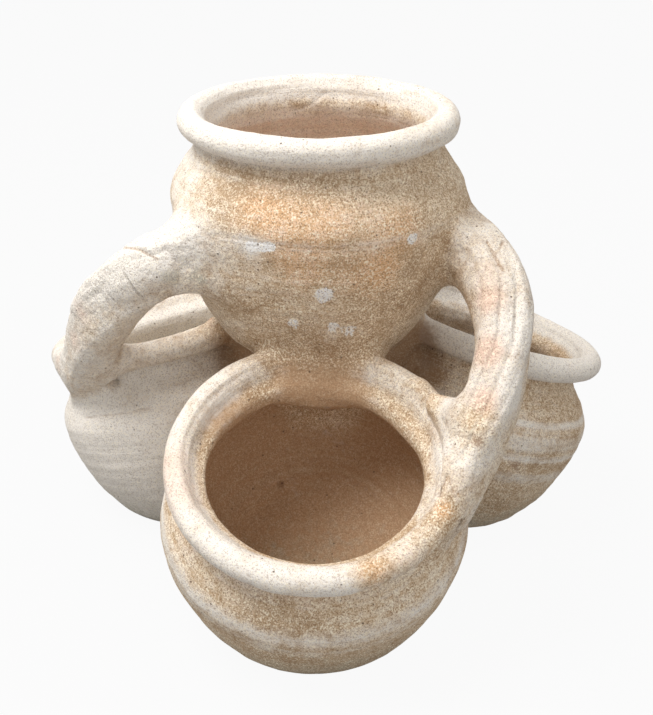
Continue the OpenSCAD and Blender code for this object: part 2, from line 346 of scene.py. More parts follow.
def spherical(turn, rise):
    t, r = math.radians(turn), math.radians(rise)
    return np.array([math.cos(r) * math.cos(t), math.cos(r) * math.sin(t), math.sin(r)])


class StrapPath:
    # the middle line of a handle from the upper wall to the lower rim, with its frame at every point
    def __init__(self, name):
        p, s = places[name], strap
        turn = math.radians(p["stand"] + s["rootTurn"])
        a = np.array([s["rootIn"] * math.cos(turn), s["rootIn"] * math.sin(turn), s["rootHeight"]])
        b = a + s["rootPull"] * spherical(p["stand"] + s["rootOutTurn"], s["rootRise"])
        d = fromBowl(name, self.rimPlace(s["landingTurn"], lowerBowl["rimRadius"], s["landingDrop"]))
        c = d + s["landingPull"] * spherical(p["leanDirection"] + s["landingTurnIn"], s["landingRise"])
        e = d + s["tailPull"] * unit(d - c)
        f = fromBowl(name, self.rimPlace(s["landingTurn"] - s["tailTurn"], lowerBowl["rimRadius"] - s["tailIn"],
                                         s["landingDrop"] + s["tailDown"]))
        t = np.linspace(0, 1, s["pathSteps"] + 1)[:, None]
        main = (1 - t) ** 3 * a + 3 * (1 - t) ** 2 * t * b + 3 * (1 - t) * t * t * c + t ** 3 * d
        t = np.linspace(0, 1, s["tailSteps"] + 1)[1:, None]
        tail = (1 - t) ** 2 * d + 2 * (1 - t) * t * e + t * t * f
        self.points = np.concatenate([main, tail])
        self.sizes = (self.points ** 2).sum(1)
        span, whole = s["mainSpan"], s["mainSpan"] + s["tailSpan"]
        u = np.concatenate([np.linspace(0, span, s["pathSteps"] + 1),
                            np.linspace(span, whole, s["tailSteps"] + 1)[1:]])
        swell = np.maximum(0, 1 - s["swellFade"] * u / span) ** 2
        taper = np.maximum(0, (u - s["taperFrom"]) / (whole - s["taperFrom"])) ** 2
        self.scale = 1 + s["rootSwell"] * swell - (1 - s["tailScale"]) * taper
        self.along = unit(np.gradient(self.points, axis=0))
        self.side = unit(np.cross(self.along, [0, 0, 1]))
        self.back = np.cross(self.side, self.along)
        self.length = np.concatenate([[0], np.cumsum(np.linalg.norm(np.diff(self.points, axis=0), axis=1))])

    @staticmethod
    def rimPlace(turn, radius, drop):
        t = math.radians(turn)
        return [radius * math.cos(t), radius * math.sin(t), lowerBowl["rimHeight"] - drop]

    def nearest(self, points):
        near = np.empty(len(points), int)
        block = 20000  # points at a time, to spare memory
        for lo in range(0, len(points), block):
            part = points[lo:lo + block]
            near[lo:lo + block] = (self.sizes - 2 * part @ self.points.T).argmin(1)
        offset = points - self.points[near]
        return near, [(offset * axes[near]).sum(1) for axes in (self.along, self.side, self.back)]

    def distance(self, points, seed):
        s = strap
        near, (forward, x, y) = self.nearest(points)
        reach = np.hypot(x, y)
        w, h = s["halfWidth"] * self.scale[near], s["halfDepth"] * self.scale[near]
        shape = (np.abs(x / w) ** s["squareness"] + np.abs(y / h) ** s["squareness"]) ** (1 / s["squareness"])
        radius = np.where(shape > 1e-6, reach / np.maximum(shape, 1e-6), np.minimum(w, h))
        ends = np.where(near == 0, -forward, np.where(near == len(self.points) - 1, forward, -1e9))
        share = (self.length[near] + forward) / self.length[-1]
        return np.maximum(reach - radius + self.fingerMarks(x, y, share, seed), ends)

    def fingerMarks(self, x, y, share, seed):
        # two ragged grooves drawn along the back, and fine streaks that run lengthwise
        s = strap
        run = np.stack([x, y, share * self.length[-1]], 1)
        onBack = smoothStep(y, *s["grooveBack"]) * smoothStep(share, *s["grooveStart"])
        onBack = onBack * (1 - smoothStep(share, *s["grooveEnd"]))
        wander = s["wander"] * clayNoise(run * [0, 0, 1], s["wanderSize"], seed)
        ragged = 0.75 + 0.45 * clayNoise(run * [0.4, 0, 1], s["raggedSize"], seed + 2)
        cut = sum(np.exp(-((x - place - wander) / s["grooveWidth"]) ** 2) for place in s["groovePlaces"])
        streaks = clayNoise(run * [1, 1, 0.07], s["streakSize"], seed + 4)
        streaks += 0.6 * clayNoise(run * [1, 1, 0.1], s["fineStreak"], seed + 6)
        return s["grooveDepth"] * cut * onBack * ragged + s["streakDepth"] * streaks


paths = {name: StrapPath(name) for name in lowerNames}
print("fields ready")


# handles
handles = {
    "frontHandle": dict(node="front_handle", bowl="frontBowl", rootBlend=16, landingBlend=22, seed=11,
                        web=dict(start=(76, -107, 168), end=(97, -147, 182), radius=8, blend=14)),
    "rearHandle": dict(node="rear_handle", bowl="rightBowl", rootBlend=23, landingBlend=22, seed=12),
    "leftHandle": dict(node="left_handle", bowl="leftBowl", rootBlend=23, landingBlend=22, seed=13),
}
handleMesh = dict(
    sides=176, rings=250, fan=44, sunk=0.3, hiddenSunk=1.3, hiddenFrom=(0.52, 0.85), searched=60, rootDepth=4.5,
    landingDepth=2.5, spareReach=1.1, moreReach=4, lumps=0.7, lumpSize=24, dents=0.4, dentSize=9, rough=0.22,
    roughSize=4.5)


def strapClay(h, points):
    m = handleMesh
    clay = paths[h["bowl"]].distance(points, h["seed"])
    if "web" in h:  # clay that fills the corner between the handle and the rim
        w = h["web"]
        start, run = np.array(w["start"]), np.subtract(w["end"], w["start"])
        along = np.clip((points - start) @ run / (run @ run), 0, 1)
        corner = np.linalg.norm(points - start - along[:, None] * run, axis=1) - w["radius"]
        clay = smoothMin(clay, corner, w["blend"])
    clay -= m["lumps"] * clayNoise(points, m["lumpSize"], h["seed"])
    clay -= m["dents"] * clayNoise(points, m["dentSize"], h["seed"] + 5)
    clay -= m["rough"] * clayNoise(points, m["roughSize"], h["seed"] + 8)
    return clay - handWork(points)


def handleField(h):
    def field(points):
        own = strapClay(h, points)
        topGap, topOpen = shellOf("topBowl", points)
        lowGap, lowOpen = shellOf(h["bowl"], points)
        clay = smoothMin(own, topGap, h["rootBlend"])
        clay = smoothMin(clay, lowGap, h["landingBlend"])
        clay = keptOpen(keptOpen(clay, topOpen), lowOpen)
        # beyond its smeared edge the skin dives under the bowl's own
        blend = np.where(topGap < lowGap, h["rootBlend"], h["landingBlend"])
        return clay + handleMesh["hiddenSunk"] * smoothStep(own / blend, *handleMesh["hiddenFrom"])
    return field


# collar and saddles
collar = dict(
    node="middle_collar", rings=120, sides=240, coreLow=122, coreHigh=160, reach=96, topBlend=13,
    valleyBlend=10, plugBlend=12, sunk=0.2, drainRadius=7, drain=(60, 260),
    plug=[(0, 116), (40, 116), (58, 146), (44.5, 168), (0, 168)])
# the clay pressed over the back of each lower rim; its section is measured from the inside of the neck
saddle = dict(
    section=[(-12, -9), (-5, -15.5), (0, -18), (2.3, -16), (1.5, -8), (0.3, 4), (0, 14), (1, 26), (3.5, 40),
             (7, 54), (-6, 54), (-22, 15)],
    halfWidth=46, rise=12, edge=18, uneven=0.5, unevenSize=17, rimBlend=11, bowlBlend=6, blendFade=14,
    spread=56, rings=120, sides=170, fan=34, reach=66, sunk=0.1, hiddenSunk=1.2, hiddenFrom=(6, 16))
raisedMost = 0.34  # the most that smeared clay raises a bowl's skin, as a share of the blend's root
plugField = SectionField(np.array(collar["plug"], float))
saddleSection = SectionField(np.array(saddle["section"], float), step=0.5)


def backOfNeck(name):
    place = fromBowl(name, [thrown["wall"] - lowerBowl["neckRadius"], 0,
                            lowerBowl["rimHeight"] - thrown["neckDrop"] * lowerBowl["beadRadius"]])
    return math.hypot(place[0], place[1]), place[2]


def padField(name, points):
    s = saddle
    neckRadius, neckHeight = backOfNeck(name)
    stand = math.radians(places[name]["stand"])
    across = points[:, 1] * math.cos(stand) - points[:, 0] * math.sin(stand)
    flat = saddleSection.at(np.hypot(points[:, 0], points[:, 1]) - neckRadius, points[:, 2] - neckHeight)
    patch = np.hypot(across, points[:, 2] - neckHeight - s["rise"]) - s["halfWidth"]
    front = points[:, 0] * math.cos(stand) + points[:, 1] * math.sin(stand)
    pad = np.where(front > 0, smoothMax(flat, patch, s["edge"]), 60)  # far from the clay behind the axis
    return pad - s["uneven"] * clayNoise(points, s["unevenSize"], 9)


def middleField(points):
    # the bowls, the plug and the pressed-on clay, smeared into one another
    c, s = collar, saddle
    shells = {name: shellOf(name, points) for name in places}
    pads = [padField(name, points) for name in lowerNames]
    pad = np.minimum(np.minimum(pads[0], pads[1]), pads[2])
    low = shells[lowerNames[0]][0]
    for name in lowerNames[1:]:
        low = smoothMin(low, shells[name][0], c["valleyBlend"])
    low = smoothMin(low, plugField(points), c["plugBlend"])
    for name in lowerNames:
        low = np.maximum(low, thrown["openGap"] - shells[name][1])
    low = smoothMin(low, pad, s["rimBlend"])
    reach = s["bowlBlend"] + (c["topBlend"] - s["bowlBlend"]) * smoothStep(pad, 0, s["blendFade"])
    low = smoothMin(low, shells["topBowl"][0], reach)
    return keptOpen(low, shells["topBowl"][1]), pad


def collarField(points):
    return middleField(points)[0]


def saddleField(points):
    clay, pad = middleField(points)
    return clay + saddle["hiddenSunk"] * smoothStep(pad, *saddle["hiddenFrom"])


def smearedOn(name, points):
    # how far the clay smeared on from each neighbour raises the skin of a bowl
    c, s = collar, saddle
    near = [(strapClay(h, points), h["rootBlend"] if name == "topBowl" else h["landingBlend"])
            for h in handles.values() if name in ("topBowl", h["bowl"])]
    near += [(padField(low, points), s["bowlBlend"] if name == "topBowl" else s["rimBlend"])
             for low in lowerNames if name in ("topBowl", low)]
    near.append((plugField(points), c["plugBlend"]))
    for other in places:
        if other != name and "topBowl" in (name, other):
            near.append((wallOf(other, points), c["topBlend"]))
        elif other != name:
            near.append((wallOf(other, points), c["valleyBlend"]))
    raised = np.zeros(len(points))
    for gap, blend in near:
        raised = np.maximum(raised, np.minimum(-smoothMin(gap, 0 * gap, blend), raisedMost * math.sqrt(blend)))
    return np.maximum(raised, 0)


# meshes from fields
walk = dict(rounds=60, share=0.92, close=0.02)  # steps at most, the part of the gap in a step, near enough


def skinAlongRays(origins, directions, reach, field, sunk):
    # walks from inside the clay towards its skin, and stops at the skin or at the ray's reach
    travelled = np.zeros(len(origins))
    moving = np.arange(len(origins))
    for _ in range(walk["rounds"]):
        depth = -field(origins[moving] + directions[moving] * travelled[moving, None]) - sunk
        travelled[moving] = np.minimum(travelled[moving] + np.maximum(depth, 0) * walk["share"], reach[moving])
        moving = moving[(depth > walk["close"]) & (travelled[moving] < reach[moving])]
        if not len(moving):
            break
    return origins + directions * travelled[:, None]


def latticeTube(points):
    # points[ring, side]: a grid, welded round into a tube and closed at both ends
    rings, sides = points.shape[:2]
    bm = bmesh.new()
    bmesh.ops.create_grid(bm, x_segments=sides, y_segments=rings - 1, size=1)
    bm.verts.ensure_lookup_table()
    setCoords(bm, np.concatenate([points, points[:, :1]], 1).reshape(-1, 3))
    seam = {bm.verts[row * (sides + 1) + sides]: bm.verts[row * (sides + 1)] for row in range(rings)}
    bmesh.ops.weld_verts(bm, targetmap=seam)
    bmesh.ops.holes_fill(bm, edges=[e for e in bm.edges if e.is_boundary], sides=0)
    bmesh.ops.recalc_face_normals(bm, faces=bm.faces[:])
    return bm


def coordsOf(bm):
    return np.array([v.co for v in bm.verts], float).reshape(-1, 3)


def normalsOf(bm):
    bm.normal_update()
    return np.array([v.normal for v in bm.verts], float).reshape(-1, 3)


def setCoords(bm, coords):
    for vert, place in zip(bm.verts, coords.tolist()):
        vert.co = place


def shown(name, data):
    thing = bpy.data.objects.new(name, data)
    bpy.context.scene.collection.objects.link(thing)
    return thing


def meshObject(bm, name):
    mesh = bpy.data.meshes.new(name)
    bm.to_mesh(mesh)
    bm.free()
    return shown(name, mesh)


def shadeSmooth(mesh):
    mesh.polygons.foreach_set("use_smooth", [True] * len(mesh.polygons))


def finishPiece(bm, name, node, material):
    # moves the mesh to the centred frame in metres and makes it a smooth-shaded piece
    setCoords(bm, (coordsOf(bm) - outlineMiddle) * millimetre)
    piece = meshObject(bm, name)
    shadeSmooth(piece.data)
    piece.data.materials.append(material)
    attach(piece, "root")
    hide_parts(node)
    print("made", name, len(piece.data.polygons), "faces")
    return piece


# amounts of bloom and painted highlight, stains and painted shade, and lines over the surface
clayPaint = {
    # inside, blush and innerBloom: brown, pink and lime on the inner wall; rim, body and bands (height,
    # width, amount): lime outside, which on the rims and the left side is also painted highlight
    "frontBowl": dict(inside=1.0, blush=0, innerBloom=0, rim=0.55, body=0.10, lines=1.0,
                      bands=[(110, 7, 0.5), (96, 5, 0.3), (134, 6, 0.15), (60, 30, -0.2)]),
    "rightBowl": dict(inside=0.5, blush=0, innerBloom=0.3, rim=1.3, body=0.28, lines=1.0,
                      bands=[(117, 3, 0.5), (103, 8, 0.35), (89, 3, 0.45), (72, 5, 0.4), (45, 25, -0.1)]),
    "leftBowl": dict(inside=0, blush=0, innerBloom=0.95, rim=0.6, body=0.85, lines=0.6,
                     bands=[(60, 18, 0.05)]),
    "topBowl": dict(inside=0, blush=0.55, innerBloom=0.75, rim=0.86, body=0.22, lines=1.0,
                    bands=[(283, 6, 0.12), (235, 20, -0.15)]),
    # on the handles, outer adds bloom along the back as painted highlight
    "frontHandle": dict(bloom=0.26, outer=0.33, lines=0.5),
    "rearHandle": dict(bloom=0.40, outer=0.25, lines=0.5),
    "leftHandle": dict(bloom=0.48, outer=0.34, lines=0.4),
    # the middle pieces get inside brown as painted shade between the bowls, and more in the crevices
    "middle": dict(bloom=0.08, inside=0.18, crevice=0.35, lines=0.15),
}
spots = {
    # place, radius and amount
    "bloom": [
        (131, -123, 233, 17, 0.35), (127, -147, 194, 16, 0.3), (-146, -84, 246, 24, 0.3),
        (-117, -88, 266, 20, 0.3), (-169, -60, 169, 18, 0.25), (-36, -236, 122, 26, 0.22),
        (-83, -197, 139, 28, 0.1), (14, -247, 116, 20, 0.3), (-46, -92, 184, 14, 0.05),
        (96, -182, 123, 14, 0.3), (-48, -105, 278, 9, 0.5), (-90, -20, 340, 40, 0.5), (10, -92, 202, 22, 0.22),
        (-40, -86, 190, 12, 0.05), (104, -162, 184, 15, -0.5), (84, -215, 130, 16, -0.3),
        (78, -150, 152, 14, 0.4), (-148, -34, 128, 18, -0.25), (-62, -150, 165, 16, -0.4),
        (39, -239, 120, 14, -0.35), (86, -200, 138, 9, -0.4), (88, -128, 178, 14, 0.3)],
    "lime": [
        (-19, -97, 220, 4.5, 1.4), (8, -96, 219, 4.5, 1.6), (19, -92, 215, 4.5, 1.4), (-48, -105, 278, 4.5, 1),
        (-40, -108, 279, 4.5, 1), (-34, -110, 280, 3.5, 1), (2, -106, 246, 7, 1.1), (58, -91, 283, 5, 1),
        (-60, 30, 120, 5, 1), (170, 60, 70, 5, 1), (60, 90, 300, 6, 1), (-40, 98, 270, 5, 1)],
    "warm": [
        (-42, -100, 300, 26, 0.65), (4, -107, 300, 24, 0.5), (50, -96, 294, 24, 0.5), (-15, -112, 269, 26, 0.6),
        (38, -101, 263, 24, 0.6), (39, -239, 120, 17, 0.6), (62, -228, 124, 10, 0.5), (84, -197, 139, 9, 0.65),
        (112, -120, 233, 3.5, 1.2), (10, 108, 290, 30, 0.4), (-100, 40, 280, 24, 0.35), (190, 80, 120, 24, 0.4),
        (-170, 110, 100, 24, 0.35), (-50, -215, 85, 16, 0.25), (189, -14, 155, 14, 0.4),
        (-86, -190, 140, 22, 0.22)],
    # painted shade: brown dabs on the inner back wall of the front bowl and under the front of the upper bowl
    "inside": [
        (7, -86, 162, 18, 0.9), (-22, -84, 168, 15, 0.8), (34, -84, 168, 15, 0.8), (-58, -108, 161, 19, 0.8),
        (-72, -126, 158, 16, 0.7), (60, -100, 163, 15, 0.35), (6, -102, 232, 28, 0.3)],
    "pink": [
        (110, -108, 248, 13, 0.9), (110, -132, 222, 13, 1.0), (108, -152, 196, 11, 0.9),
        (96, -182, 150, 16, 0.25), (110, -90, 262, 12, 0.4), (-170, -70, 212, 12, 0.5),
        (-180, -58, 184, 12, 0.5), (-202, -6, 141, 10, 0.7), (-84, -15, 183, 6, 0.8), (-5, -226, 95, 22, 0.35),
        (40, 160, 120, 20, 0.3), (-48, -212, 100, 20, 0.4), (-80, -186, 106, 18, 0.4), (34, -224, 96, 18, 0.25),
        (-86, -190, 140, 24, 0.45), (-100, -160, 150, 24, 0.45)],
    "grime": [
        (-103, -92, 250, 9, 0.55), (-83, -91, 250, 9, 0.55), (-59, -89, 237, 6, 0.6),
        (-83, -142, 161, 13, 0.35), (-60, 70, 235, 18, 0.4), (90, 60, 150, 20, 0.4)],
    # dark dabs: a few stains, and painted shade in the crevices behind the front handle and between the bowls, in
    # thumb dents and under the upper bowl
    "stain": [
        (105, -167, 174, 6, 0.9), (151, -42, 86, 7, 0.7), (-29, -54, 67, 3.5, 1.0), (6, -102, 234, 30, 0.2),
        (20, 190, 60, 12, 0.4), (62, -18, 167, 23, 0.95), (67, -19, 182, 17, 0.6), (82, -18, 150, 20, 0.75),
        (-57, -22, 163, 23, 0.95), (-68, -14, 154, 18, 0.75), (-162, -18, 133, 6, 0.6),
        (-148, -24, 132, 7, 0.35), (-50, -70, 196, 7, 0.3)],
}


painting = dict(
    innerReach=(1, 6), innerTop=(24, 3), rimReach=(9, 17), litSideHalf=200, rimLitSide=(0.7, 0.5),
    bodyLitSide=(0.3, 1.2), rimLines=0.3, bowlRough=0.2, middleRough=0.6, handleLitBack=(-8, 16), handleClimb=200,
    plugBehind=4, seamWidth=4, deepest=-3, sure=(0.5, 0.95), creviceReach=(5, 30), creviceTop=(175, 225),
    creviceBloom=0.3, darkOliveTop=(8, 75), darkOliveMost=0.5, crackWidth=0.9)


def bowlPaint(name, points):
    # the gap to a bowl's clay, and the amounts of bloom with painted highlight, inside, lines, pink, rough and
    # climb on it
    p, look, bowl = painting, clayPaint[name], topBowl if name == "topBowl" else lowerBowl
    local = toBowl(name, points)
    r, z = np.hypot(local[:, 0], local[:, 1]), local[:, 2]
    wall, hollow = shellOf(name, points)
    top = [bowl["rimHeight"] - drop for drop in p["innerTop"]]
    inner = (1 - smoothStep(hollow, *p["innerReach"])) * (1 - smoothStep(z, *top))
    rim = 1 - smoothStep(np.hypot(r - bowl["rimRadius"], z - bowl["rimHeight"]), *p["rimReach"])
    # painted highlight: the bloom on rim and body grows towards the left side, where the light falls
    left = np.clip(0.5 - (points[:, 0] - fromBowl(name, [0, 0, 100])[0]) / p["litSideHalf"], 0, 1)
    bloom = look["rim"] * rim * (p["rimLitSide"][0] + p["rimLitSide"][1] * left)
    bloom += look["body"] * (1 - rim) * (p["bodyLitSide"][0] + p["bodyLitSide"][1] * left)
    bloom += sum(amount * np.exp(-((z - height) / width) ** 2) for height, width, amount in look["bands"])
    climb = z + rim * (r - bowl["neckRadius"]) + 2 * clayNoise(local, 60, 3)
    return wall, [bloom * (1 - inner) + look["innerBloom"] * inner, look["inside"] * inner,
                  look["lines"] * (1 - p["rimLines"] * rim), look["blush"] * inner, p["bowlRough"] + 0 * r, climb]


def claySample(points):
    # amounts depend on the place alone, so they run on across the seams
    p, none = painting, np.zeros(len(points))
    gaps, values = [list(part) for part in zip(*[bowlPaint(name, points) for name in places])]
    for name, h in handles.items():
        look, path = clayPaint[name], paths[h["bowl"]]
        x, y = path.nearest(points)[1][1:]
        gaps.append(path.distance(points, h["seed"]))
        # painted highlight: each handle is limed more along its back, its upper face
        values.append([look["bloom"] + look["outer"] * smoothStep(y, *p["handleLitBack"]), none,
                       none + look["lines"], none, none + 1, x + p["handleClimb"]])
    pads = [padField(name, points) for name in lowerNames] + [plugField(points) - p["plugBehind"]]
    gaps.append(np.min(pads, axis=0))
    look = clayPaint["middle"]
    values.append([none + look["bloom"], none + look["inside"], none + look["lines"], none,
                   none + p["middleRough"], points[:, 2]])
    gaps, values = np.array(gaps), np.array(values)
    weights = np.exp(-np.maximum(gaps, p["deepest"]) / p["seamWidth"])
    weights /= weights.sum(0)
    between = np.sort(gaps[:len(places)], 0)[1]  # gap to the second nearest bowl, small in the crevices
    # painted shade: low down, where a second bowl is near, the clay is painted browner and less limed
    crevice = (1 - smoothStep(between, *p["creviceReach"])) * (1 - smoothStep(points[:, 2], *p["creviceTop"]))
    found = {channel: (weights * values[:, k]).sum(0)
             for k, channel in enumerate(("bloom", "inside", "lines", "pink", "rough"))}
    found["bloom"] -= p["creviceBloom"] * crevice
    found["inside"] += look["crevice"] * crevice
    found["lines"] *= smoothStep(weights.max(0), *p["sure"])
    found["climb"] = values[gaps.argmin(0), 5, np.arange(len(points))]
    # the clay is painted darker towards the bottom
    found["grime"] = p["darkOliveMost"] * (1 - smoothStep(points[:, 2], *p["darkOliveTop"]))
    # painted shade: the clay is painted dark along the cracks
    found["crack"] = sum(c["depth"] / 2 * pressed(points, c["line"], c["width"] * p["crackWidth"]) for c in cracks)
    for channel, dabs in spots.items():
        amount = found.get(channel, none)
        for *place, radius, strength in dabs:
            far = np.linalg.norm(points - np.array(place), axis=1)
            amount = amount + strength * np.exp(-(far / radius) ** 2)
        found[channel] = amount
    return found


def paintPiece(piece):
    mesh = piece.data
    flat = np.empty(len(mesh.vertices) * 3)
    mesh.vertices.foreach_get("co", flat)
    for channel, amounts in claySample(flat.reshape(-1, 3) / millimetre + outlineMiddle).items():
        layer = mesh.attributes.new(channel, "FLOAT", "POINT")
        layer.data.foreach_set("value", np.asarray(amounts, np.float32))


# bowls
def neighbourPlane(name, other):
    # the upright plane halfway between two bellies
    a = fromBowl(name, [[0, 0, lowerBowl["bellyHeight"]]])[0]
    b = fromBowl(other, [[0, 0, lowerBowl["bellyHeight"]]])[0]
    normal = unit((b - a) * [1, 1, 0])
    return (a + b) / 2, normal


def cutFlat(bm, point, normal):
    bmesh.ops.bisect_plane(bm, geom=bm.verts[:] + bm.edges[:] + bm.faces[:], dist=1e-5,
                           plane_co=point, plane_no=normal, clear_outer=True)
    bmesh.ops.holes_fill(bm, edges=[e for e in bm.edges if e.is_boundary], sides=0)


def drilled(piece, low, high, radius):
    # a round drain hole through the finished piece, from point low to point high
    low, high = [Vector((np.array(p, float) - outlineMiddle) * millimetre) for p in (low, high)]
    bm = bmesh.new()
    along = high - low
    bmesh.ops.create_cone(bm, cap_ends=True, segments=48, radius1=radius * millimetre,
                          radius2=radius * millimetre, depth=along.length)
    turn = along.to_track_quat("Z", "Y").to_matrix().to_4x4()
    bmesh.ops.transform(bm, matrix=Matrix.Translation((low + high) / 2) @ turn, verts=bm.verts[:])
    drill = meshObject(bm, "drill")
    cut = piece.modifiers.new("drainHole", "BOOLEAN")
    cut.operation, cut.solver, cut.object = "DIFFERENCE", "EXACT", drill
    bpy.context.view_layer.update()
    shaped = bpy.data.meshes.new_from_object(piece.evaluated_get(bpy.context.evaluated_depsgraph_get()))
    piece.modifiers.clear()
    old = piece.data
    piece.data = shaped
    bpy.data.meshes.remove(old)
    bpy.data.objects.remove(drill)
    shadeSmooth(shaped)


def throwBowl(name, material):
    section = topSection if name == "topBowl" else lowerSection
    bm = bmesh.new()
    line = [bm.verts.new((r, 0, z)) for r, z in section]
    for a, b in zip(line, line[1:]):
        bm.edges.new((a, b))
    bmesh.ops.spin(bm, geom=bm.verts[:] + bm.edges[:], axis=(0, 0, 1), cent=(0, 0, 0),
                   angle=2 * math.pi, steps=int(thrown["turns"] * detail), use_merge=True)
    bmesh.ops.remove_doubles(bm, verts=bm.verts[:], dist=1e-3)
    bmesh.ops.recalc_face_normals(bm, faces=bm.faces[:])
    local, outward = coordsOf(bm), normalsOf(bm)
    local += outward * bowlRelief(name, local)[:, None]
    outer = smoothStep(hollowOf(name, local), *thrown["outerReach"])
    local += outward * (outer * smearedOn(name, fromBowl(name, local)))[:, None]
    setCoords(bm, fromBowl(name, local))
    if name != "topBowl":
        cutFlat(bm, (0, 0, 0), (0, 0, -1))
        for other in lowerNames:
            if other != name:
                cutFlat(bm, *neighbourPlane(name, other))
    piece = finishPiece(bm, name, places[name]["node"], material)
    if name == "topBowl":
        low, high = [fromBowl(name, [0, 0, z]) for z in thrown["topDrain"]]
    else:
        foot = fromBowl(name, [lowerBowl["footRadius"] * thrown["drainPlace"], 0, 0])
        low, high = [foot * [1, 1, 0] + [0, 0, z] for z in thrown["lowDrain"]]
    drilled(piece, low, high, thrown["drainRadius"])
    paintPiece(piece)


# clay drawn along a path
def fanRays(frameAxes, forward, fan, sides):
    # rays that swing from square to the path round to straight ahead
    side, back, along = frameAxes
    swing = np.linspace(0, math.pi / 2, fan + 1)[1:-1]
    turn = np.arange(sides) * 2 * math.pi / sides
    ring = np.cos(turn)[:, None] * side + np.sin(turn)[:, None] * back
    return np.cos(swing)[:, None, None] * ring[None] + np.sin(swing)[:, None, None] * along * forward


def wrapPath(centres, side, back, ahead, reach, field, sunk, sides, fan):
    # rays square to the path and a fan at each end find the skin of the field around it
    turn = np.arange(sides) * 2 * math.pi / sides
    rays = np.cos(turn)[None, :, None] * side[:, None] + np.sin(turn)[None, :, None] * back[:, None]
    first = fanRays((side[0], back[0], ahead[0]), -1, fan, sides)[::-1]
    last = fanRays((side[-1], back[-1], ahead[-1]), 1, fan, sides)
    rays = np.concatenate([first, rays, last])
    starts, reach = [np.concatenate([np.repeat(part[:1], len(first), 0), part, np.repeat(part[-1:], len(last), 0)])
                     for part in (centres, reach)]
    origins = np.repeat(starts, sides, 0)
    skin = skinAlongRays(origins, rays.reshape(-1, 3), np.repeat(reach, sides), field, sunk)
    return latticeTube(skin.reshape(rays.shape))


def pullHandle(name, material):
    h, m = handles[name], handleMesh
    path = paths[h["bowl"]]
    sides, ringCount, fan = [int(m[k] * detail) for k in ("sides", "rings", "fan")]
    depth = wallOf("topBowl", path.points)
    start = int(np.argmin(np.where(path.length < m["searched"], np.abs(depth + m["rootDepth"]), 1e9)))
    lowDepth = wallOf(h["bowl"], path.points)
    stop = max(i for i in range(len(path.points)) if lowDepth[i] < -m["landingDepth"])
    stations = np.linspace(path.length[start], path.length[stop], ringCount)

    def along(values):
        return np.stack([np.interp(stations, path.length, values[:, k]) for k in range(3)], 1)
    centre = along(path.points)
    ahead, side = unit(along(path.along)), unit(along(path.side))
    back = np.cross(side, ahead)
    scale = np.interp(stations, path.length, path.scale)
    reach = strap["halfDepth"] * scale * m["spareReach"] + h["rootBlend"] + m["moreReach"]
    bm = wrapPath(centre, side, back, ahead, reach, handleField(h), m["sunk"], sides, fan)
    paintPiece(finishPiece(bm, name, h["node"], material))


def modelCollar(material):
    c = collar
    rings, sides = int(c["rings"] * detail), int(c["sides"] * detail)
    swing = np.linspace(-math.pi / 2, math.pi / 2, rings + 2)[1:-1]
    heights = c["coreLow"] + (c["coreHigh"] - c["coreLow"]) * (0.5 + 0.5 * np.sin(swing))
    turn = np.arange(sides) * 2 * math.pi / sides
    rays = np.stack([np.cos(swing)[:, None] * np.cos(turn), np.cos(swing)[:, None] * np.sin(turn),
                     np.broadcast_to(np.sin(swing)[:, None], (rings, sides))], -1)
    origins = np.zeros_like(rays)
    origins[..., 2] = heights[:, None]
    skin = skinAlongRays(origins.reshape(-1, 3), rays.reshape(-1, 3), np.full(rings * sides, float(c["reach"])),
                         collarField, c["sunk"])
    bm = latticeTube(skin.reshape(rays.shape))
    piece = finishPiece(bm, "middleCollar", c["node"], material)
    drilled(piece, (0, 0, c["drain"][0]), (0, 0, c["drain"][1]), c["drainRadius"])
    paintPiece(piece)


def modelSaddle(name, material):
    s = saddle
    sides, rings, fan = [int(s[k] * detail) for k in ("sides", "rings", "fan")]
    turn = np.radians(180 + np.linspace(-s["spread"], s["spread"], rings))
    out = np.stack([np.cos(turn), np.sin(turn), 0 * turn], 1)
    centres = fromBowl(name, out * lowerBowl["rimRadius"] + [0, 0, lowerBowl["rimHeight"] - 1])
    rotation = placeOf(name)[1]
    side = out @ rotation.T
    back = np.repeat([rotation[:, 2]], rings, 0)
    ahead = np.cross(back, side)
    bm = wrapPath(centres, side, back, ahead, np.full(rings, float(s["reach"])), saddleField,
                  s["sunk"], sides, fan)
    paintPiece(finishPiece(bm, name.replace("Bowl", "Saddle"), places[name]["node"], material))


# clay
class Value:
    # a shader number; arithmetic on it adds Math nodes
    def __init__(self, shader, socket):
        self.shader, self.socket = shader, socket

    def combined(self, operation, first, second):
        return self.shader.add("ShaderNodeMath", {"operation": operation}, {0: first, 1: second})

    def __add__(self, other):
        return self.combined("ADD", self, other)

    def __radd__(self, other):
        return self.combined("ADD", other, self)

    def __sub__(self, other):
        return self.combined("SUBTRACT", self, other)

    def __rsub__(self, other):
        return self.combined("SUBTRACT", other, self)

    def __mul__(self, other):
        return self.combined("MULTIPLY", self, other)

    def __rmul__(self, other):
        return self.combined("MULTIPLY", other, self)


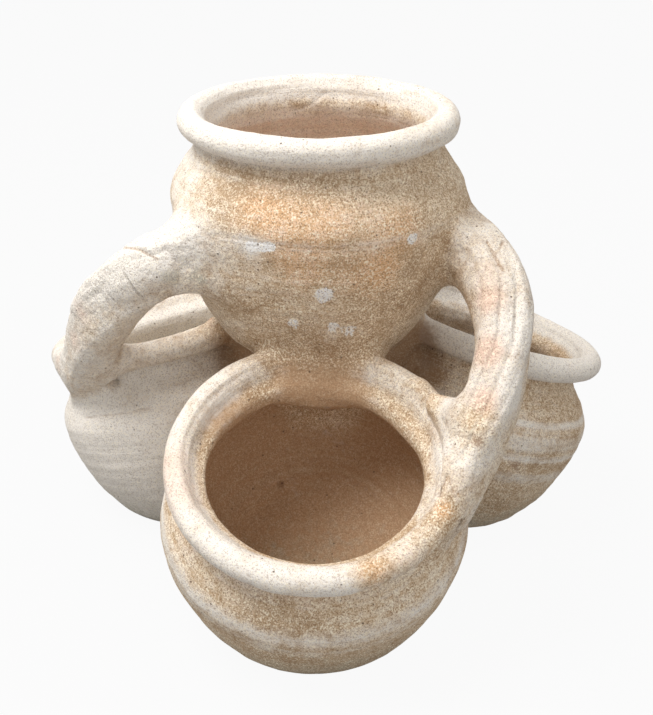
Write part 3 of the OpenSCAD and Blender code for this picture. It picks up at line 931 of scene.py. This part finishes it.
class Shader:
    def __init__(self, owner):
        owner.use_nodes = True
        self.owner, self.tree = owner, owner.node_tree
        self.tree.nodes.clear()

    def add(self, kind, settings=None, sockets=None, output=0):
        node = self.tree.nodes.new(kind)
        for key, setting in (settings or {}).items():
            if key == "stops":
                ramp = node.color_ramp
                while len(ramp.elements) < len(setting):
                    ramp.elements.new(0.5)
                for stop, (position, colour) in zip(ramp.elements, setting):
                    stop.position, stop.color = position, (*colour, 1)
            else:
                setattr(node, key, setting)
        for key, given in (sockets or {}).items():
            if isinstance(given, Value):
                self.tree.links.new(given.socket, node.inputs[key])
            else:
                node.inputs[key].default_value = given
        return Value(self, node.outputs[output]) if len(node.outputs) else None

    def amount(self, name):
        return self.add("ShaderNodeAttribute", {"attribute_name": name}, {}, "Fac")

    def noise(self, place, size, detailLevels=2, roughness=0.5, shift=0.0):
        # features of about this size in millimetres
        return self.add("ShaderNodeTexNoise", {"noise_dimensions": "4D"},
                        {"Vector": place, "W": shift, "Scale": 1000 / size, "Detail": detailLevels,
                         "Roughness": roughness}, "Fac")

    def step(self, value, low, high):
        return self.add("ShaderNodeMapRange", {"interpolation_type": "SMOOTHSTEP"},
                        {"Value": value, "From Min": low, "From Max": high})

    def mix(self, under, over, share):
        colours = {6: under, 7: over}
        colours = {k: c if isinstance(c, Value) else (*c, 1) for k, c in colours.items()}
        return self.add("ShaderNodeMix", {"data_type": "RGBA"}, {0: share, **colours}, 2)

    def seenDirectly(self):
        # 1 for the camera's own rays and for what gloss or glass shows
        rays = [self.add("ShaderNodeLightPath", output=name)
                for name in ("Is Camera Ray", "Is Glossy Ray", "Is Transmission Ray")]
        return self.add("ShaderNodeMath", {"operation": "ADD", "use_clamp": True},
                        {0: rays[0] + rays[1], 1: rays[2]})


# the bloom colour is also painted highlight, and the stain colour is also painted shade
clayColours = dict(
    dark=(0.43, 0.285, 0.165), tan=(0.60, 0.43, 0.275), light=(0.76, 0.61, 0.44), inside=(0.47, 0.29, 0.165),
    bloom=(0.85, 0.81, 0.755), lime=(0.90, 0.88, 0.86), warm=(0.74, 0.41, 0.19), pink=(0.72, 0.46, 0.34),
    grime=(0.36, 0.34, 0.25), stain=(0.30, 0.17, 0.09), grainLight=(0.93, 0.83, 0.65),
    grainDark=(0.28, 0.17, 0.09), pinhole=(0.13, 0.08, 0.05))
# size in millimetres, levels of detail, roughness and shift of each noise
clayNoises = dict(
    cloud=(62, 3, 0.5, 1), patch=(15, 3, 0.55, 2), mottle=(4.2, 3, 0.6, 3), grain=(1.15, 3, 0.65, 4),
    finer=(0.75, 1, 0.5, 5), scraped=(6.5, 5, 0.68, 6))
clayLayers = [
    # colour, the painted amount it follows, the noises that break its edge, where it starts and is whole, most
    ("inside", "inside", dict(patch=0.5, lines=1.3), 0.05, 1.2, 1),
    ("warm", "warm", dict(patch=0.9, mottle=0.5, lines=0.3), 0.15, 0.8, 0.85),
    # lime bloom, which is also painted highlight on the rims, the backs of the handles and the left side
    ("bloom", "bloom", dict(cloud=0.4, patch=0.8, mottle=0.6, lines=0.4, grain=-0.7), 0.08, 0.85, 0.9),
    ("pink", "pink", dict(mottle=0.9), 0.1, 0.9, 0.7),
    # painted shade along the cracks
    ("stain", "crack", {}, 0.25, 0.8, 0.55),
    ("grime", "grime", dict(mottle=0.8, patch=0.5), 0.15, 0.85, 0.7),
    # stains, and painted shade in crevices and dents
    ("stain", "stain", dict(mottle=0.7), 0.25, 0.8, 0.75),
    ("lime", "lime", dict(mottle=1.2), 0.42, 0.62, 1),
]
clayBump = dict(mottle=0.7, patch=0.8, grain=0.42, finer=0.16, lines=0.4, scraped=2.6, holes=-0.5)
clayFinish = dict(
    lineScale=0.28, holeSpacing=7.0, holeSize=(0.13, 0.06), holeChosen=(0.72, 0.76), holeShare=0.8,
    roughness=0.86, roughChange=0.2, specular=0.25)


def makeSandyClay():
    c, f = clayColours, clayFinish
    s = Shader(bpy.data.materials.new("sandyClay"))
    place = s.add("ShaderNodeTexCoord", output="Object")
    n = {name: s.noise(place, *sizes) for name, sizes in clayNoises.items()}
    drawn = s.add("ShaderNodeTexNoise", {"noise_dimensions": "1D"},
                  {"W": s.amount("climb"), "Scale": f["lineScale"], "Detail": 4, "Roughness": 0.65}, "Fac")
    swings = {name: noise - 0.5 for name, noise in n.items()}  # about zero
    swings["lines"] = (drawn - 0.5) * s.amount("lines")
    colour = s.mix(c["dark"], c["tan"], s.step(n["patch"] * 0.6 + n["cloud"] * 0.4, 0.34, 0.56))
    paler = n["cloud"] * 0.5 + n["mottle"] * 0.5 + swings["lines"] * 0.2
    colour = s.mix(colour, c["light"], s.step(paler, 0.46, 0.68))
    masks = {}
    for name, follows, breaks, start, whole, most in clayLayers:
        edge = s.amount(follows)
        for noise, weight in breaks.items():
            edge = edge + swings[noise] * weight
        masks[name] = s.step(edge, start, whole)
        colour = s.mix(colour, c[name], masks[name] * most)
    # sand grains show less where the clay is limed, and pale ones hardly within a bowl
    hidden = s.step(s.amount("inside") + s.amount("stain"), 0.3, 1.0) * 0.75
    sandy = s.step(n["mottle"] * 0.4 + n["patch"] * 0.6, 0.36, 0.60) * 0.5 + 0.5
    limed = 0.35 * masks["bloom"]
    colour = s.mix(colour, c["grainLight"], s.step(n["grain"], 0.51, 0.60) * (1 - limed) * (1 - hidden) * sandy)
    colour = s.mix(colour, c["grainDark"], s.step(n["finer"] * 0.5 + n["grain"] * 0.5, 0.49, 0.40)
                   * (0.85 - limed - 0.4 * hidden))
    cell = {"Vector": place, "Scale": 1000 / f["holeSpacing"], "Randomness": 1.0}
    far = s.add("ShaderNodeTexVoronoi", {}, cell, "Distance")
    chosen = s.add("ShaderNodeSeparateColor", {}, {0: s.add("ShaderNodeTexVoronoi", {}, cell, "Color")}, 0)
    swings["holes"] = s.step(far, *f["holeSize"]) * s.step(chosen, *f["holeChosen"])
    colour = s.mix(colour, c["pinhole"], swings["holes"] * f["holeShare"])
    swings["scraped"] = swings["scraped"] * s.amount("rough")
    height = sum(swings[name] * weight for name, weight in clayBump.items())
    bump = s.add("ShaderNodeBump", {}, {"Strength": 1.0, "Distance": millimetre, "Height": height}, "Normal")
    shaded = s.add("ShaderNodeBsdfPrincipled", {}, {
        "Base Color": colour, "Roughness": f["roughness"] + swings["grain"] * f["roughChange"], "Normal": bump,
        "Specular IOR Level": f["specular"]})
    s.add("ShaderNodeOutputMaterial", {}, {"Surface": shaded})
    return s.owner


sandyClay = makeSandyClay()
for name in places:
    throwBowl(name, sandyClay)
for name in handles:
    pullHandle(name, sandyClay)
modelCollar(sandyClay)
for name in lowerNames:
    modelSaddle(name, sandyClay)


# floor, light and camera
stageLook = dict(
    floorSize=8.0, floorGrey=0.32, floorGlow=0.94, skyStrength=0.64, lampSize=1.2)
lamps = dict(skylight=dict(place=(-0.8, -0.35, 1.9), aim=(0, 0, 0.2), power=38.0),
             frontFill=dict(place=(0.9, -1.8, 0.9), aim=(0, 0, 0.15), power=4.2))

bm = bmesh.new()
bmesh.ops.create_grid(bm, x_segments=1, y_segments=1, size=stageLook["floorSize"] / 2)
floor = meshObject(bm, "floor")
floorPaint = Shader(bpy.data.materials.new("paleFloor"))
shadowed = floorPaint.add("ShaderNodeBsdfDiffuse", {}, {"Color": (*[stageLook["floorGrey"]] * 3, 1)})
glowing = floorPaint.add("ShaderNodeEmission", {}, {"Color": (1, 1, 1, 1), "Strength": 1.0})
pale = floorPaint.add("ShaderNodeMixShader", {}, {0: floorPaint.seenDirectly() * stageLook["floorGlow"],
                                                  1: shadowed, 2: glowing})
floorPaint.add("ShaderNodeOutputMaterial", {}, {"Surface": pale})
floor.data.materials.append(floorPaint.owner)

studio = Shader(bpy.data.worlds.new("studio"))
bpy.context.scene.world = studio.owner
seen = studio.seenDirectly()
sky = studio.add("ShaderNodeBackground", {}, {"Color": (1, 1, 1, 1),
                                              "Strength": seen + (1 - seen) * stageLook["skyStrength"]})
studio.add("ShaderNodeOutputWorld", {}, {"Surface": sky})


def areaLamp(name, place, aim, power):
    data = bpy.data.lights.new(name, "AREA")
    data.shape, data.size, data.energy = "DISK", stageLook["lampSize"], power
    lamp = shown(name, data)
    lamp.location = place
    lamp.rotation_mode = "QUATERNION"
    lamp.rotation_quaternion = (Vector(aim) - Vector(place)).to_track_quat("-Z", "Y")


for name, lamp in lamps.items():
    areaLamp(name, **lamp)
print("floor and lamps ready")

view = dict(
    distance=848.1, height=544.8, swing=1.24, turn=-1.07, pitch=24.9, roll=1.82, focalPixels=1200,
    longSidePixels=715, sensor=36, clip=(0.05, 50))


def placeCamera():
    v = view
    a, w, p, r = [math.radians(v[k]) for k in ("swing", "turn", "pitch", "roll")]
    place = np.array([v["distance"] * math.sin(a), -v["distance"] * math.cos(a), v["height"]])
    ahead = np.array([math.sin(w) * math.cos(p), math.cos(w) * math.cos(p), -math.sin(p)])
    right = np.array([math.cos(w), -math.sin(w), 0])
    up = np.cross(right, ahead)
    rightRolled = math.cos(r) * right + math.sin(r) * up
    upRolled = -math.sin(r) * right + math.cos(r) * up
    data = bpy.data.cameras.new("camera")
    data.sensor_width = v["sensor"]
    data.lens = v["focalPixels"] * v["sensor"] / v["longSidePixels"]
    data.clip_start, data.clip_end = v["clip"]
    camera = shown("camera", data)
    matrix = np.eye(4)
    matrix[:3, 0], matrix[:3, 1], matrix[:3, 2] = rightRolled, upRolled, -ahead
    matrix[:3, 3] = (place - outlineMiddle) * millimetre
    camera.matrix_world = Matrix(matrix.tolist())
    bpy.context.scene.camera = camera


placeCamera()
bpy.context.scene.view_settings.view_transform = "Standard"
